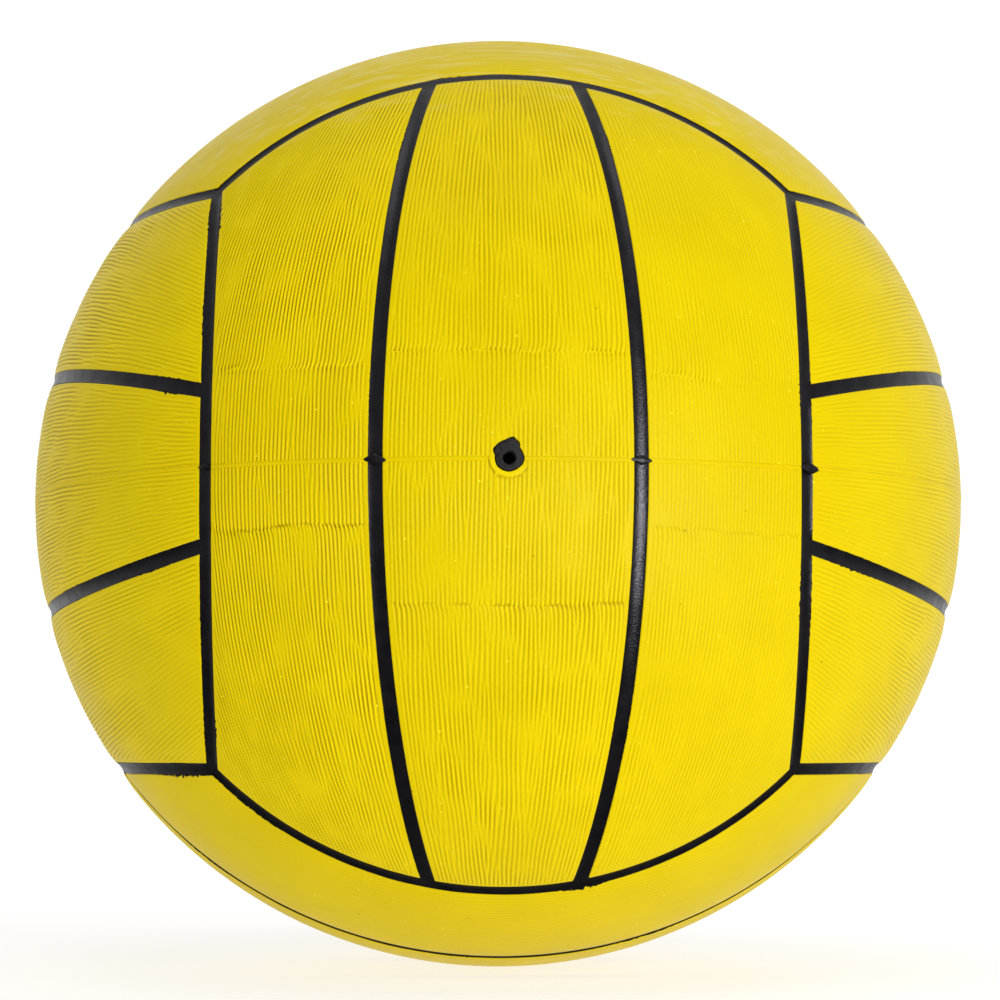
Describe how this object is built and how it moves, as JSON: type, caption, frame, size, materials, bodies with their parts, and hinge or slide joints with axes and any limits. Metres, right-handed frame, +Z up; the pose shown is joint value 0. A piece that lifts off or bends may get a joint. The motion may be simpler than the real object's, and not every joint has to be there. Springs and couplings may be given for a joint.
{
  "type": "water polo ball",
  "caption": "Inflatable water polo ball: ridged yellow rubber cover panels with black channels between them, over a wound carcass and a bladder with a pull-out needle valve plug.",
  "frame": {"origin": "centre of the ball", "axes": "+Z up as the ball is set down, -Y out through the valve, +X to the right when facing the valve"},
  "size_m": [0.22, 0.2203, 0.22],
  "materials": {
    "cover_rubber": "satin yellow rubber moulded with fine grip ridges",
    "channel_black": "satin black, slightly grainy",
    "carcass_rubber": "matt gum rubber",
    "nylon_winding": "wound nylon yarn",
    "bladder_rubber": "smooth butyl rubber",
    "valve_rubber": "matt black rubber"
  },
  "bodies": {
    "ball": {"back_channel_edge_left": "channel_black", "back_channel_edge_right": "channel_black", "back_channel_inner_left": "channel_black", "back_channel_inner_right": "channel_black", "back_panel_left": "cover_rubber", "back_panel_middle": "cover_rubber", "back_panel_right": "cover_rubber", "bladder": "bladder_rubber", "bottom_channel_edge_front": "channel_black", "bottom_channel_edge_rear": "channel_black", "bottom_channel_inner_front": "channel_black", "bottom_channel_inner_rear": "channel_black", "bottom_panel_front": "cover_rubber", "bottom_panel_middle": "cover_rubber", "bottom_panel_rear": "cover_rubber", "carcass": "carcass_rubber", "front_channel_edge_left": "channel_black", "front_channel_edge_right": "channel_black", "front_channel_inner_left": "channel_black", "front_channel_inner_right": "channel_black", "front_panel_left": "cover_rubber", "front_panel_middle": "cover_rubber", "front_panel_right": "cover_rubber", "left_channel_edge_lower": "channel_black", "left_channel_edge_upper": "channel_black", "left_channel_inner_lower": "channel_black", "left_channel_inner_upper": "channel_black", "left_panel_lower": "cover_rubber", "left_panel_middle": "cover_rubber", "left_panel_upper": "cover_rubber", "nylon_winding": "nylon_winding", "right_channel_edge_lower": "channel_black", "right_channel_edge_upper": "channel_black", "right_channel_inner_lower": "channel_black", "right_channel_inner_upper": "channel_black", "right_panel_lower": "cover_rubber", "right_panel_middle": "cover_rubber", "right_panel_upper": "cover_rubber", "top_channel_edge_front": "channel_black", "top_channel_edge_rear": "channel_black", "top_channel_inner_front": "channel_black", "top_channel_inner_rear": "channel_black", "top_panel_front": "cover_rubber", "top_panel_middle": "cover_rubber", "top_panel_rear": "cover_rubber", "valve_seat": "valve_rubber"},
    "valve_plug": {"valve_plug": "valve_rubber"}
  },
  "joints": [
    {"name": "valve_plug_pull", "type": "slide", "parent": "ball", "child": "valve_plug", "axis": [0, -1, 0], "range_m": [0, 0.018]}
  ]
}
